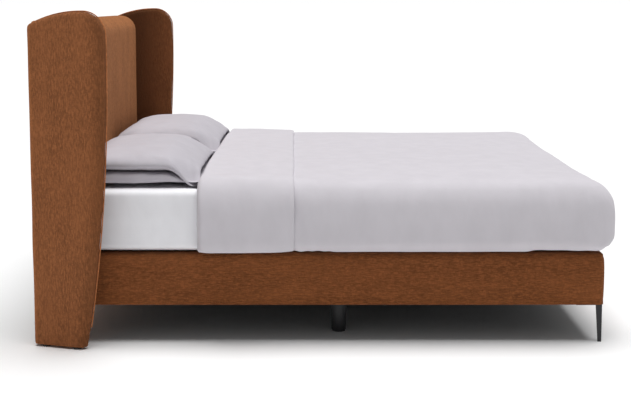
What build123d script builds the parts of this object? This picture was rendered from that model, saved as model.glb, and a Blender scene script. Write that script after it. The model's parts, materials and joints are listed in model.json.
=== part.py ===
import os
from math import cos, pi, radians, sin, tan

from build123d import *

# Box spring bed with a winged headboard. Millimetres, +Z up, +X from the head to the foot.
# The origin is on the floor, under the middle of the whole bed.

# Mattress and base
mattress_length = 2000.0
mattress_width = 1800.0
mattress_height = 249.7
base_height = 195.0
leg_height = 145.0
base_foot_reveal = 17.0
mattress_head_gap = 3.0

# Headboard and wings, side outline measured from the back edge and from the floor
headboard_depth = 130.0
headboard_height = 1215.0
headboard_roll_radius = 58.0
wing_gap = 3.0
wing_thickness = 45.0
wing_flare_angle = 18.0
wing_back_height = 1197.0
wing_crown_bulge = 14.8
wing_peak_x = 220.0
wing_peak_z = 1250.0
wing_front_x = 305.0
wing_front_z = 1160.0
wing_floor_x = 214.0
wing_edge_radius = 17.0
wing_edge_cut = 10.0
glide_height = 6.0
glide_diameter = 30.0
glide_inset = 45.0
glide_sides = 12

# Upholstery layers
cover_thickness = 2.5
cloth_thickness = 1.0
layer_gap = 0.3
soft_gap = 0.3
wing_board_thickness = 18.0
panel_side_wrap = 10.0
panel_gap = 0.5

# Headboard frame
back_board_thickness = 4.0
stud_depth = 44.0
stud_width = 60.0
frame_rail_height = 110.0
front_board_thickness = 9.0
middle_rail_centre_z = 650.0
inner_stud_share = 0.34
spacer_width = 90.0
spacer_height = 90.0

# Base frame
rail_thickness = 25.0
wadding_thickness = 8.0
ledger_width = 30.0
ledger_height = 28.0
beam_width = 70.0
bearer_width = 90.0
block_side = 110.0
slat_thickness = 18.0
slat_width = 100.0
felt_thickness = 4.0
top_foam_thickness = 22.0
platform_border = 70.0

# Coil springs
coil_rows = 6
coil_columns = 5
coil_turns = 3
coil_end_radius = 44.0
coil_waist_radius = 28.0
coil_wire = 3.6
coil_steps_per_turn = 5
wire_sides = 3
tie_rod_side = 3.0
border_wire_side = 5.0
coil_edge_margin = 95.0

# Fasteners, whose shanks and holes have a few flat sides each
fastener_sides = 8
bolt_radius = 4.0
bolt_head_radius = 8.0
bolt_head_height = 5.5
bolt_hole_clearance = 0.3
bolt_grip_in_rail = 34.0
bolt_place_shares = (-0.75, -0.3, 0.3, 0.75)
wing_bolt_inset = 30.0
wing_bolt_grip = 14.0
screw_radius = 2.4
screw_head_radius = 4.5
screw_head_height = 2.6
screw_length = 22.0
screw_edge = 14.0

# Legs
leg_inset = 9.0
leg_plate_side = 98.0
leg_plate_thickness = 3.0
leg_plate_cut = 52.0
leg_flange_top = 24.0
leg_flange_bottom = 14.0
leg_wall = 4.0
leg_tip_height = 4.0
leg_tip_rim = 1.0
support_leg_diameter = 62.0
support_leg_foot_diameter = 56.0
support_leg_inset = 170.0
support_leg_x = 50.0
support_pad_height = 5.0
support_pad_diameter = 50.0
round_sides = 20
stud_radius = 4.0
stud_engagement = 22.0

# Mattress
mattress_corner_radius = 60.0
mattress_edge_radius = 28.0
sheet_thickness = 1.5
sheet_tuck = 120.0
ticking_thickness = 3.0
comfort_foam_thickness = 45.0
under_foam_thickness = 20.0

# Duvet
duvet_thickness = 30.0
duvet_side_bulge = 38.0
duvet_foot_bulge = 59.0
duvet_edge_radius = 70.0
duvet_corner_radius = 95.0
duvet_hem_height = 2.0
duvet_head_x = -484.0
fold_back_length = 370.0
fold_back_thickness = 20.0
fold_back_side_step = 5.0
fold_back_cut = 6.0

# Pillows
pillow_width = 800.0
pillow_depth = 466.0
pillow_centre_y = 470.0
pillow_head_gap = 6.0
lower_pillow_height = 62.0
upper_pillow_height = 92.0
pillow_seam_rise = 18.0
pillow_seam_trim = 6.0
pillow_draw_in = 13.0

# One overrun serves every cut
overrun = 20.0

# Places worked out from the sizes above
duvet_foot_reach = soft_gap + duvet_foot_bulge
overall_length = (
    headboard_depth + mattress_head_gap + mattress_length + max(base_foot_reveal, duvet_foot_reach)
)
back_x = -overall_length / 2
face_x = back_x + headboard_depth
mattress_head_x = face_x + mattress_head_gap
mattress_foot_x = mattress_head_x + mattress_length
foot_x = mattress_foot_x + base_foot_reveal
base_half = mattress_width / 2
base_top_z = leg_height + base_height
mattress_bottom_z = base_top_z + soft_gap
mattress_top_z = mattress_bottom_z + mattress_height

flare = radians(wing_flare_angle)
wing_inner_y = base_half + wing_gap
wing_reach = wing_front_x + overrun
foam_inset = cover_thickness + layer_gap
wing_board_inset = (wing_thickness - wing_board_thickness) / 2

core_front_x = back_x + back_board_thickness + stud_depth + front_board_thickness
core_half = wing_inner_y - panel_gap - cover_thickness - panel_side_wrap
core_bottom_z = leg_height + cover_thickness
core_top_z = headboard_height - cover_thickness - panel_side_wrap
stud_back_x = back_x + back_board_thickness
stud_front_x = stud_back_x + stud_depth
bolt_z = core_bottom_z + frame_rail_height / 2
bolt_places_y = [share * base_half for share in bolt_place_shares]

rail_inset = cover_thickness + wadding_thickness
rail_outer_y = base_half - rail_inset
rail_inner_y = rail_outer_y - rail_thickness
rail_head_x = face_x + rail_inset
rail_foot_x = foot_x - rail_inset
rail_bottom_z = leg_height + cloth_thickness
lid_z = base_top_z - cover_thickness
felt_z = lid_z - top_foam_thickness - felt_thickness
slat_z = rail_bottom_z + ledger_height
coil_bottom_z = slat_z + slat_thickness + layer_gap
coil_top_z = felt_z - layer_gap
bay_head_x = rail_head_x + rail_thickness
bay_foot_x = rail_foot_x - rail_thickness


def block(x0, x1, y0, y1, z0, z1):
    """A box between two corners."""
    middle = Pos((x0 + x1) / 2, (y0 + y1) / 2, (z0 + z1) / 2)
    return middle * Box(x1 - x0, y1 - y0, z1 - z0)


def rod(start, direction, radius, length):
    """A fastener's shank or its hole, drawn with a few flat sides, along a direction."""
    base = Plane(origin=start, z_dir=direction)
    return extrude(base * RegularPolygon(radius, fastener_sides), length)


def bolt(start, direction, length, head_radius, head_height, radius):
    """A bolt whose head is seated at the start point, with its shank along the direction."""
    way = Vector(*direction)
    head_start = Vector(*start) - way * head_height
    head = rod(head_start, direction, head_radius, head_height)
    return head + rod(start, direction, radius, length)


def spread(first, last, count):
    """Evenly spaced places from the first to the last."""
    step = (last - first) / (count - 1)
    return [first + step * index for index in range(count)]


def cut(solid, tools):
    """Take every tool away from a solid."""
    for tool in tools:
        solid = solid - tool
    return solid


def mirror_y(shape):
    """The same piece on the other side of the bed."""
    return mirror(shape, about=Plane.XZ)


def save(name, *solids):
    """Write one node, a single solid or a group of separate ones."""
    pieces = [piece for solid in solids for piece in solid.solids()]
    node = pieces[0] if len(pieces) == 1 else Compound(children=pieces)
    node.label = name
    export_step(node, os.path.join("parts", name + ".step"))


# Wings
def wing_outline(inset):
    """A wing in its own flared plane: a low crown, a round shoulder, a front that draws in."""
    along = 1 / cos(flare)
    back_low = (0, glide_height)
    back_high = (0, wing_back_height)
    peak = (wing_peak_x * along, wing_peak_z)
    front = (wing_front_x * along, wing_front_z)
    front_low = (wing_floor_x * along, glide_height)
    crown = SagittaArc(back_high, peak, wing_crown_bulge)
    shoulder = TangentArc(peak, front, tangent=crown % 1)
    leading = TangentArc(front, front_low, tangent=shoulder % 1)
    lines = [Line(back_low, back_high), crown, shoulder, leading, Line(front_low, back_low)]
    face = make_face(lines)
    if inset > 0:
        face = offset(face, -inset)
    return face


def wing_slab(inset):
    """The far wing drawn in by an inset, with sharp edges and its back cut flush."""
    inward = (sin(flare), -cos(flare), 0)
    corner = (back_x - inset * sin(flare), wing_inner_y + inset * cos(flare), 0)
    plane = Plane(origin=corner, x_dir=(cos(flare), sin(flare), 0), z_dir=inward)
    slab = extrude(plane * wing_outline(inset), -(wing_thickness - 2 * inset))
    reach = wing_inner_y + wing_reach
    return slab - block(back_x - reach, back_x + inset, 0, reach, 0, wing_peak_z + overrun)


def wing_long_edges(slab, inset):
    """The crown, shoulder and front edges of both faces of a wing, which run into each other."""
    edges = [edge for edge in slab.edges() if edge.center().Z > glide_height + wing_thickness]
    edges = [edge for edge in edges if edge.center().X > back_x + wing_gap + inset]
    return [edge for edge in edges if edge.length > wing_thickness / cos(flare) + inset]


def wing_depth(edge):
    """How far an edge's middle lies outwards from the far wing's inner face."""
    place = edge.center()
    return (place.Y - wing_inner_y) * cos(flare) - (place.X - back_x) * sin(flare)


def wing_skin():
    """The outside of the far wing: round long edges outside, cut ones on its inner face."""
    slab = wing_slab(0)
    outer = [edge for edge in wing_long_edges(slab, 0) if wing_depth(edge) > wing_thickness / 2]
    slab = fillet(outer, wing_edge_radius)
    inner = [edge for edge in wing_long_edges(slab, 0) if wing_depth(edge) < wing_edge_cut]
    return chamfer(inner, wing_edge_cut)


def wing_padding(inset):
    """The padding's form: its edges are cut at a slant, inside the skin's."""
    slab = wing_slab(inset)
    return chamfer(wing_long_edges(slab, inset), wing_edge_radius - inset)


def wing_bolt_heights():
    """Three bolts a side, through the studs between the frame's rails."""
    low = core_bottom_z + frame_rail_height / 2
    high = core_top_z - frame_rail_height / 2
    return [low, middle_rail_centre_z, high]


def wing_bolt_span():
    """Where a wing bolt starts, at the inner face of the outer stud, and how long it is."""
    start_y = core_half - stud_width
    board_y = wing_inner_y + wing_bolt_inset * tan(flare) + wing_board_inset / cos(flare)
    return start_y, board_y + wing_bolt_grip - start_y


def wing_bolt_holes():
    """Clearance holes for the far wing's bolts."""
    start_y, length = wing_bolt_span()
    x = back_x + wing_bolt_inset
    radius = bolt_radius + bolt_hole_clearance
    reach = length + bolt_hole_clearance
    return [rod((x, start_y, z), (0, 1, 0), radius, reach) for z in wing_bolt_heights()]


def build_wings():
    holes = wing_bolt_holes()
    cover = cut(wing_skin() - wing_padding(cover_thickness), holes)
    foam = cut(wing_padding(foam_inset) - wing_slab(wing_board_inset - layer_gap), holes)
    panel = cut(wing_slab(wing_board_inset), holes)
    for name, piece in (("wing_cover", cover), ("wing_foam", foam), ("wing_board", panel)):
        save(name + "_far", piece)
        save(name + "_near", mirror_y(piece))


def build_wing_bolts():
    start_y, length = wing_bolt_span()
    bolts = []
    for z in wing_bolt_heights():
        start = (back_x + wing_bolt_inset, start_y, z)
        one = bolt(start, (0, 1, 0), length, bolt_head_radius, bolt_head_height, bolt_radius)
        bolts += [one, mirror_y(one)]
    save("wing_bolts", *bolts)


def build_glides():
    """Two plastic glides under each wing."""
    middle_y = wing_inner_y + wing_thickness / 2 / cos(flare)
    glides = []
    for reach in (glide_inset, wing_floor_x - glide_inset):
        centre = Pos(back_x + reach, middle_y + reach * tan(flare), 0)
        one = centre * extrude(RegularPolygon(glide_diameter / 2, glide_sides), glide_height)
        glides += [one, mirror_y(one)]
    save("wing_glides", *glides)


# Headboard
def panel_outline(inset, open_back):
    """Side outline of the centre cushion, with its rolled top edge."""
    rear_x = back_x - overrun if open_back else back_x + inset
    low_z = leg_height + inset
    high_z = headboard_height - inset
    front_x = face_x - inset
    radius = headboard_roll_radius - inset
    bend = (front_x - radius + radius * sin(pi / 4), high_z - radius + radius * cos(pi / 4))
    roll = ThreePointArc((front_x - radius, high_z), bend, (front_x, high_z - radius))
    lines = [
        Line((rear_x, low_z), (rear_x, high_z)),
        Line((rear_x, high_z), (front_x - radius, high_z)),
        roll,
        Line((front_x, high_z - radius), (front_x, low_z)),
        Line((front_x, low_z), (rear_x, low_z)),
    ]
    return Plane.XZ * make_face(lines)


def panel_form(inset, open_back=False):
    """The centre cushion between the flared wings."""
    slope = tan(flare)
    side = wing_inner_y - panel_gap - inset / cos(flare)
    start = back_x - overrun
    end = face_x + overrun
    depth = headboard_depth + overrun
    corners = [
        (start, side - overrun * slope),
        (end, side + depth * slope),
        (end, -side - depth * slope),
        (start, -side + overrun * slope),
    ]
    plan = extrude(make_face(Polyline(*corners, close=True)), headboard_height + overrun)
    return extrude(panel_outline(inset, open_back), wing_inner_y + wing_reach, both=True) & plan


def headboard_bolt_holes():
    """Holes along the bed for the bolts that hold the base to the headboard."""
    radius = bolt_radius + bolt_hole_clearance
    start_x = stud_front_x - bolt_grip_in_rail - bolt_hole_clearance
    length = bay_head_x + bolt_head_height - start_x
    return [rod((start_x, y, bolt_z), (1, 0, 0), radius, length) for y in bolt_places_y]


def spacer_blocks(gap):
    """Timber blocks that keep the bolts from crushing the foam."""
    half_width = spacer_width / 2 + gap
    half_height = spacer_height / 2 + gap
    front_x = face_x - foam_inset + gap
    blocks = []
    for y in bolt_places_y:
        across = (y - half_width, y + half_width)
        upright = (bolt_z - half_height, bolt_z + half_height)
        blocks.append(block(core_front_x, front_x, *across, *upright))
    return blocks


def build_headboard_frame():
    holes = headboard_bolt_holes() + side_bolt_holes()
    centres = [
        core_bottom_z + frame_rail_height / 2,
        middle_rail_centre_z,
        core_top_z - frame_rail_height / 2,
    ]
    rails = []
    for z in centres:
        half = frame_rail_height / 2
        rail = block(stud_back_x, stud_front_x, -core_half, core_half, z - half, z + half)
        rails.append(cut(rail, holes + wing_head_pockets()))
    save("headboard_rails", *rails)
    studs = []
    places = [core_half - stud_width / 2, core_half * inner_stud_share]
    for low, high in zip(centres, centres[1:]):
        for y in [-place for place in places] + places:
            across = (y - stud_width / 2, y + stud_width / 2)
            span = (low + frame_rail_height / 2, high - frame_rail_height / 2)
            studs.append(block(stud_back_x, stud_front_x, *across, *span))
    save("headboard_studs", *studs)


def side_bolt_holes():
    """The wing bolts' holes on both sides."""
    far = wing_bolt_holes()
    return far + [mirror_y(hole) for hole in far]


def wing_head_pockets():
    """Notches in the rails behind the studs where the wing bolts' heads are turned."""
    start_y, _ = wing_bolt_span()
    half = bolt_head_radius + cover_thickness
    depth = bolt_head_height + wing_bolt_inset
    pockets = []
    for z in wing_bolt_heights():
        reach = (back_x + wing_bolt_inset - half, stud_front_x + overrun)
        pocket = block(*reach, start_y - depth, start_y, z - half, z + half)
        pockets += [pocket, mirror_y(pocket)]
    return pockets


def build_headboard_panel():
    holes = headboard_bolt_holes()
    sides = side_bolt_holes()
    board = block(stud_front_x, core_front_x, -core_half, core_half, core_bottom_z, core_top_z)
    save("headboard_front_board", cut(board, holes))
    cloth_x = back_x + cloth_thickness
    rear = block(cloth_x, stud_back_x, -core_half, core_half, core_bottom_z, core_top_z)
    save("headboard_back_board", rear)
    save("headboard_spacers", *[cut(one, holes) for one in spacer_blocks(0)])
    side = core_half + layer_gap
    core = block(back_x - overrun, core_front_x, -side, side, 0, core_top_z + layer_gap)
    foam = panel_form(foam_inset) - core
    save("headboard_foam", cut(foam, spacer_blocks(layer_gap) + holes + sides))
    cover = panel_form(0) - panel_form(cover_thickness, open_back=True)
    save("headboard_cover", cut(cover, holes + sides))
    save("headboard_back_cloth", block(back_x, cloth_x, -core_half, core_half, core_bottom_z, core_top_z))


def build_headboard_bolts():
    start_x = bay_head_x
    length = start_x - stud_front_x + bolt_grip_in_rail
    bolts = []
    for y in bolt_places_y:
        start = (start_x, y, bolt_z)
        bolts.append(bolt(start, (-1, 0, 0), length, bolt_head_radius, bolt_head_height, bolt_radius))
    save("headboard_bolts", *bolts)


# Base frame
def coil_places_x():
    return spread(bay_head_x + coil_edge_margin, bay_foot_x - coil_edge_margin, coil_rows)


def coil_places_y():
    return spread(-rail_inner_y + coil_edge_margin, rail_inner_y - coil_edge_margin, coil_columns)


def build_base_rails():
    holes = headboard_bolt_holes()
    low, high = rail_bottom_z, felt_z
    near = block(rail_head_x, rail_foot_x, -rail_outer_y, -rail_inner_y, low, high)
    head = block(rail_head_x, bay_head_x, -rail_inner_y, rail_inner_y, low, high)
    foot = block(bay_foot_x, rail_foot_x, -rail_inner_y, rail_inner_y, low, high)
    save("base_side_rail_near", near)
    save("base_side_rail_far", mirror_y(near))
    save("base_head_rail", cut(head, holes))
    save("base_foot_rail", foot)


def corner_block(x0, x1):
    """A timber block in one far corner of the base."""
    return block(x0, x1, rail_inner_y - block_side, rail_inner_y, rail_bottom_z, slat_z)


def build_base_bearers():
    screws = [rod(*hole) for hole in leg_screw_holes()]
    studs = stud_holes()
    ledger = block(
        bay_head_x + block_side, bay_foot_x - block_side, rail_inner_y - ledger_width, rail_inner_y,
        rail_bottom_z, slat_z,
    )
    save("base_ledgers", ledger, mirror_y(ledger))
    half = beam_width / 2
    beam = block(bay_head_x, bay_foot_x, -half, half, rail_bottom_z, slat_z)
    save("base_centre_beam", cut(beam, studs))
    reach = (support_leg_x - bearer_width / 2, support_leg_x + bearer_width / 2)
    bearer = block(*reach, half, rail_inner_y - ledger_width, rail_bottom_z, slat_z)
    save("base_cross_bearers", cut(bearer, studs), mirror_y(cut(bearer, studs)))
    head = corner_block(bay_head_x, bay_head_x + block_side)
    foot = cut(corner_block(bay_foot_x - block_side, bay_foot_x), screws)
    save("base_corner_blocks", head, mirror_y(head), foot, mirror_y(foot))


def build_slats():
    slats = []
    for x in coil_places_x():
        reach = (x - slat_width / 2, x + slat_width / 2)
        slats.append(block(*reach, -rail_inner_y, rail_inner_y, slat_z, slat_z + slat_thickness))
    save("base_slats", *slats)


# Spring unit
def coil_path():
    """Points of one hourglass coil, wound upwards about the Z axis."""
    count = coil_turns * coil_steps_per_turn
    height = coil_top_z - coil_bottom_z - coil_wire
    points = []
    for step in range(count + 1):
        along = step / count
        waist = cos(pi * (2 * along - 1) / 2)
        radius = coil_end_radius - (coil_end_radius - coil_waist_radius) * waist
        turn = 2 * pi * step / coil_steps_per_turn
        points.append((radius * cos(turn), radius * sin(turn), coil_wire / 2 + height * along))
    return points


def coil_spring():
    """One wire coil, bent in straight runs with mitred corners."""
    points = coil_path()
    start = Plane(origin=points[0], z_dir=Vector(*points[1]) - Vector(*points[0]))
    wire = start * RegularPolygon(coil_wire / 2, wire_sides)
    return sweep(wire, path=Polyline(*points), transition=Transition.RIGHT)


def build_springs():
    one = coil_spring()
    coils = []
    for x in coil_places_x():
        for y in coil_places_y():
            coils.append(Pos(x, y, coil_bottom_z) * one)
    save("coil_springs", *coils)
    rods = []
    top = coil_top_z - coil_wire - layer_gap
    reach = rail_inner_y - layer_gap - border_wire_side - layer_gap
    for x in coil_places_x():
        span = (x - tie_rod_side / 2, x + tie_rod_side / 2)
        rods.append(block(*span, -reach, reach, top - tie_rod_side, top))
    save("coil_tie_rods", *rods)


def build_border_wire():
    """The square frame of stout wire round the top of the spring unit."""
    outer = (bay_head_x + layer_gap, bay_foot_x - layer_gap, rail_inner_y - layer_gap)
    x0, x1, y1 = outer
    side = border_wire_side
    high = coil_top_z
    ring = block(x0, x1, -y1, y1, high - side, high)
    hollow = block(x0 + side, x1 - side, -y1 + side, y1 - side, 0, base_top_z)
    save("spring_border_wire", ring - hollow)


# Base upholstery
def base_box(inset, z0, z1):
    """The base's outline drawn in by an inset, between two heights."""
    reach = base_half - inset
    return block(face_x + inset, foot_x - inset, -reach, reach, z0, z1)


def build_base_upholstery():
    holes = headboard_bolt_holes()
    save("spring_felt", base_box(rail_inset, felt_z, felt_z + felt_thickness))
    save("base_top_foam", base_box(rail_inset, felt_z + felt_thickness, lid_z))
    wadding = base_box(cover_thickness, leg_height, lid_z) - base_box(rail_inset, 0, base_top_z)
    save("base_side_wadding", cut(wadding, holes))
    skin = base_box(0, leg_height, base_top_z) - base_box(cover_thickness, 0, lid_z)
    corners = skin.edges().filter_by(Axis.Z).group_by(Axis.X)[-1]
    corners = [edge for edge in corners if abs(edge.center().Y) > base_half - cover_thickness / 2]
    skin = fillet(corners, cover_thickness)
    window = base_box(platform_border, lid_z, base_top_z)
    save("base_cover", cut(skin - window, holes))
    save("base_platform_cloth", window)
    sheet = base_box(rail_inset, leg_height, rail_bottom_z)
    tools = [rod(*hole) for hole in leg_screw_holes()]
    tools += [mirror_y(tool) for tool in tools] + stud_holes()
    tools += [mirror_y(tool) for tool in stud_holes()]
    save("base_dust_cloth", cut(sheet, tools))


# Legs
def leg_screw_places():
    """Screw places on the far foot corner's plate."""
    near_x = foot_x - rail_inset - rail_thickness - screw_edge
    far_x = foot_x - leg_inset - leg_plate_side + screw_edge
    near_y = base_half - rail_inset - rail_thickness - screw_edge
    far_y = base_half - leg_inset - leg_plate_side + screw_edge
    return [(near_x, near_y), (near_x, far_y), (far_x, near_y)]


def leg_screw_holes():
    """Start, direction, radius and length of each far screw hole, from under the plate."""
    start_z = leg_height - leg_plate_thickness
    radius = screw_radius + bolt_hole_clearance
    reach = screw_length + bolt_hole_clearance
    return [((x, y, start_z), (0, 0, 1), radius, reach) for x, y in leg_screw_places()]


def leg_blade(low_z, high_z):
    """Two flat tapered flanges that meet in the far foot corner."""
    x = foot_x - leg_inset
    y = base_half - leg_inset
    wide = (leg_flange_top, high_z)
    narrow = (leg_flange_bottom, low_z)
    flanges = []
    for corner, plane, wall in ((x, Plane.XZ.offset(-y), leg_wall), (y, Plane.YZ.offset(x), -leg_wall)):
        outline = [(corner, low_z), (corner, high_z)]
        outline += [(corner - reach, z) for reach, z in (wide, narrow)]
        flanges.append(extrude(plane * make_face(Polyline(*outline, close=True)), wall))
    return flanges[0] + flanges[1]


def build_foot_legs():
    """A plate under the corner with a tapered angle leg welded to it."""
    top_z = leg_height - leg_plate_thickness
    x = foot_x - leg_inset
    y = base_half - leg_inset
    far = (x - leg_plate_side, y - leg_plate_side)
    corners = [(x, y), (far[0], y), (far[0], y - leg_plate_cut), (x - leg_plate_cut, far[1]), (x, far[1])]
    plate = Pos(0, 0, top_z) * extrude(make_face(Polyline(*corners, close=True)), leg_plate_thickness)
    leg = cut(plate + leg_blade(leg_tip_height, top_z), [rod(*hole) for hole in leg_screw_holes()])
    save("foot_leg_far", leg)
    save("foot_leg_near", mirror_y(leg))
    reach = leg_flange_bottom
    tip = block(x - reach, x, y - reach, y, 0, leg_tip_height)
    wall = leg_wall + leg_tip_rim
    notch = block(x - reach - overrun, x - wall, y - reach - overrun, y - wall, -overrun, leg_height)
    save("foot_leg_tips", tip - notch, mirror_y(tip - notch))
    screws = []
    for x, y in leg_screw_places():
        start = (x, y, top_z)
        one = bolt(start, (0, 0, 1), screw_length, screw_head_radius, screw_head_height, screw_radius)
        screws += [one, mirror_y(one)]
    save("foot_leg_screws", *screws)


def support_places():
    """Middle, and one near each side."""
    side = base_half - support_leg_inset
    return [(support_leg_x, 0), (support_leg_x, side), (support_leg_x, -side)]


def stud_holes():
    """Holes for the studs that screw the round legs to the beam and bearers."""
    start_z = leg_height - stud_engagement - bolt_hole_clearance
    length = stud_engagement + ledger_height + bolt_hole_clearance
    radius = stud_radius + bolt_hole_clearance
    return [rod((x, y, start_z), (0, 0, 1), radius, length) for x, y in support_places()]


def build_support_legs():
    holes = stud_holes()
    legs, pads, studs = [], [], []
    for x, y in support_places():
        low = Pos(x, y, support_pad_height) * RegularPolygon(support_leg_foot_diameter / 2, round_sides)
        high = Pos(x, y, leg_height) * RegularPolygon(support_leg_diameter / 2, round_sides)
        legs.append(cut(loft([low, high], ruled=True), holes))
        pad = RegularPolygon(support_pad_diameter / 2, round_sides)
        pads.append(Pos(x, y, 0) * extrude(pad, support_pad_height))
        start = (x, y, leg_height - stud_engagement)
        studs.append(rod(start, (0, 0, 1), stud_radius, stud_engagement + ledger_height - layer_gap))
    save("support_legs", *legs)
    save("support_leg_pads", *pads)
    save("support_leg_studs", *studs)


# Mattress
def mattress_slab(inset, z0, z1):
    """The mattress drawn in by an inset, with round corners."""
    half = base_half - inset
    form = block(mattress_head_x + inset, mattress_foot_x - inset, -half, half, z0, z1)
    return fillet(form.edges().filter_by(Axis.Z), mattress_corner_radius - inset)


def mattress_layer(inset, z0, z1):
    """A layer inside the mattress, whose upper edge is cut at a slant."""
    form = mattress_slab(inset, z0, z1)
    return chamfer(form.edges().group_by(Axis.Z)[-1], mattress_edge_radius - inset)


def build_mattress():
    low, high = mattress_bottom_z, mattress_top_z
    shell = mattress_slab(0, low, high)
    shell = fillet(shell.edges().group_by(Axis.Z)[-1], mattress_edge_radius)
    wall = sheet_thickness
    inner = mattress_layer(wall, low + wall, high - wall)
    reach = base_half - sheet_tuck
    hatch = block(
        mattress_head_x + sheet_tuck, mattress_foot_x - sheet_tuck, -reach, reach,
        low - overrun, low + overrun,
    )
    save("fitted_sheet", shell - inner - hatch)
    inset = wall + layer_gap
    outer = mattress_layer(inset, low + inset, high - inset)
    lining = inset + ticking_thickness
    hollow = mattress_layer(lining, low + lining, high - lining)
    save("mattress_cover", outer - hollow)
    core = lining + layer_gap
    filling = mattress_layer(core, low + core, high - core)
    under_z = low + core + under_foam_thickness
    over_z = high - core - comfort_foam_thickness
    low_part = base_box(-overrun, 0, under_z)
    high_part = base_box(-overrun, over_z, high)
    save("mattress_base_foam", filling & low_part)
    save("mattress_spring_core", filling - low_part - high_part)
    save("mattress_top_foam", filling & high_part)


# Bedding
def duvet_block(head_x, side, foot, z0, z1, corner):
    """A block over the mattress, from near the head to past the foot, with round foot corners."""
    half = base_half + side
    form = block(head_x, mattress_foot_x + foot, -half, half, z0, z1)
    return fillet(form.edges().filter_by(Axis.Z).group_by(Axis.X)[-1], corner)


def duvet_top_edges(form, head_x):
    """The top edges that the duvet falls over: all but the one at its head."""
    return [edge for edge in form.edges().group_by(Axis.Z)[-1] if edge.center().X > head_x + overrun]


def build_duvet():
    """A duvet that hangs over three sides, doubled where it is folded back at the head."""
    hem_z = base_top_z + duvet_hem_height
    top_z = mattress_top_z + soft_gap + duvet_thickness
    side = soft_gap + duvet_side_bulge
    outer = duvet_block(duvet_head_x, side, duvet_foot_reach, hem_z, top_z, duvet_corner_radius)
    outer = fillet(duvet_top_edges(outer, duvet_head_x), duvet_edge_radius)
    fold_end = duvet_head_x + fold_back_length
    thick = fold_back_thickness
    half = base_half + side + fold_back_side_step
    fold = block(duvet_head_x, fold_end, -half, half, hem_z, top_z + thick)
    fold = fillet(fold.edges().filter_by(Axis.X).group_by(Axis.Z)[-1], duvet_edge_radius + thick)
    fold = chamfer(fold.edges().group_by(Axis.X)[0].filter_by(Axis.Y).group_by(Axis.Z)[-1], fold_back_cut)
    start_x = duvet_head_x - overrun
    hollow_top_z = mattress_top_z + soft_gap
    hollow = duvet_block(start_x, soft_gap, soft_gap, 0, hollow_top_z, mattress_corner_radius)
    hollow = chamfer(duvet_top_edges(hollow, start_x), mattress_edge_radius / 2)
    save("duvet", (outer + fold) - hollow)


def upper_profile(half, height):
    """An upper pillow from one side: flat where it lies, then one full crown."""
    flat = half - pillow_seam_rise
    seam = pillow_seam_rise
    return [
        Line((-flat, 0), (flat, 0)),
        Line((flat, 0), (half, seam)),
        ThreePointArc((half, seam), (0, height), (-half, seam)),
        Line((-half, seam), (-flat, 0)),
    ]


def lower_profile(half, height):
    """A lower pillow from one side: pressed flat above too, with its sides bulging."""
    flat = half - pillow_seam_rise
    return [
        Line((-flat, 0), (flat, 0)),
        ThreePointArc((flat, 0), (half, height / 2), (flat, height)),
        Line((flat, height), (-flat, height)),
        ThreePointArc((-flat, height), (-half, height / 2), (-flat, 0)),
    ]


def pillow_plan():
    """A pillow from above, with its four sides drawn in between the corners."""
    x = pillow_depth / 2
    y = pillow_width / 2
    return [
        ThreePointArc((x, -y), (x - pillow_draw_in, 0), (x, y)),
        ThreePointArc((x, y), (0, y - pillow_draw_in), (-x, y)),
        ThreePointArc((-x, y), (-x + pillow_draw_in, 0), (-x, -y)),
        ThreePointArc((-x, -y), (0, -y + pillow_draw_in), (x, -y)),
    ]


def pillow(profile, height, bottom_z):
    """A far-side pillow: what its profiles along and across and its plan have in common."""
    x = pillow_depth / 2 + pillow_seam_trim
    y = pillow_width / 2 + pillow_seam_trim
    along = extrude(Plane.XZ * make_face(profile(x, height)), y, both=True)
    across = extrude(Plane.YZ * make_face(profile(y, height)), x, both=True)
    form = extrude(make_face(pillow_plan()), height) & along & across
    return Pos(mattress_head_x + pillow_head_gap + pillow_depth / 2, pillow_centre_y, bottom_z) * form


def build_pillows():
    low = mattress_top_z + soft_gap
    high = low + lower_pillow_height + soft_gap
    lower = pillow(lower_profile, lower_pillow_height, low)
    upper = pillow(upper_profile, upper_pillow_height, high)
    save("lower_pillow_far", lower)
    save("lower_pillow_near", mirror_y(lower))
    save("upper_pillow_far", upper)
    save("upper_pillow_near", mirror_y(upper))


def main():
    os.makedirs("parts", exist_ok=True)
    build_wings()
    build_wing_bolts()
    build_glides()
    build_headboard_frame()
    build_headboard_panel()
    build_headboard_bolts()
    build_base_rails()
    build_base_bearers()
    build_slats()
    build_springs()
    build_border_wire()
    build_base_upholstery()
    build_foot_legs()
    build_support_legs()
    build_mattress()
    build_duvet()
    build_pillows()


main()
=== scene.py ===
import json
from math import cos, pi, radians, sin

import bmesh
import bpy
from bpy.props import FloatProperty, FloatVectorProperty, IntProperty, PointerProperty
from bpy.types import Operator, Panel, PropertyGroup
from mathutils import Matrix, Vector, noise


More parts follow.
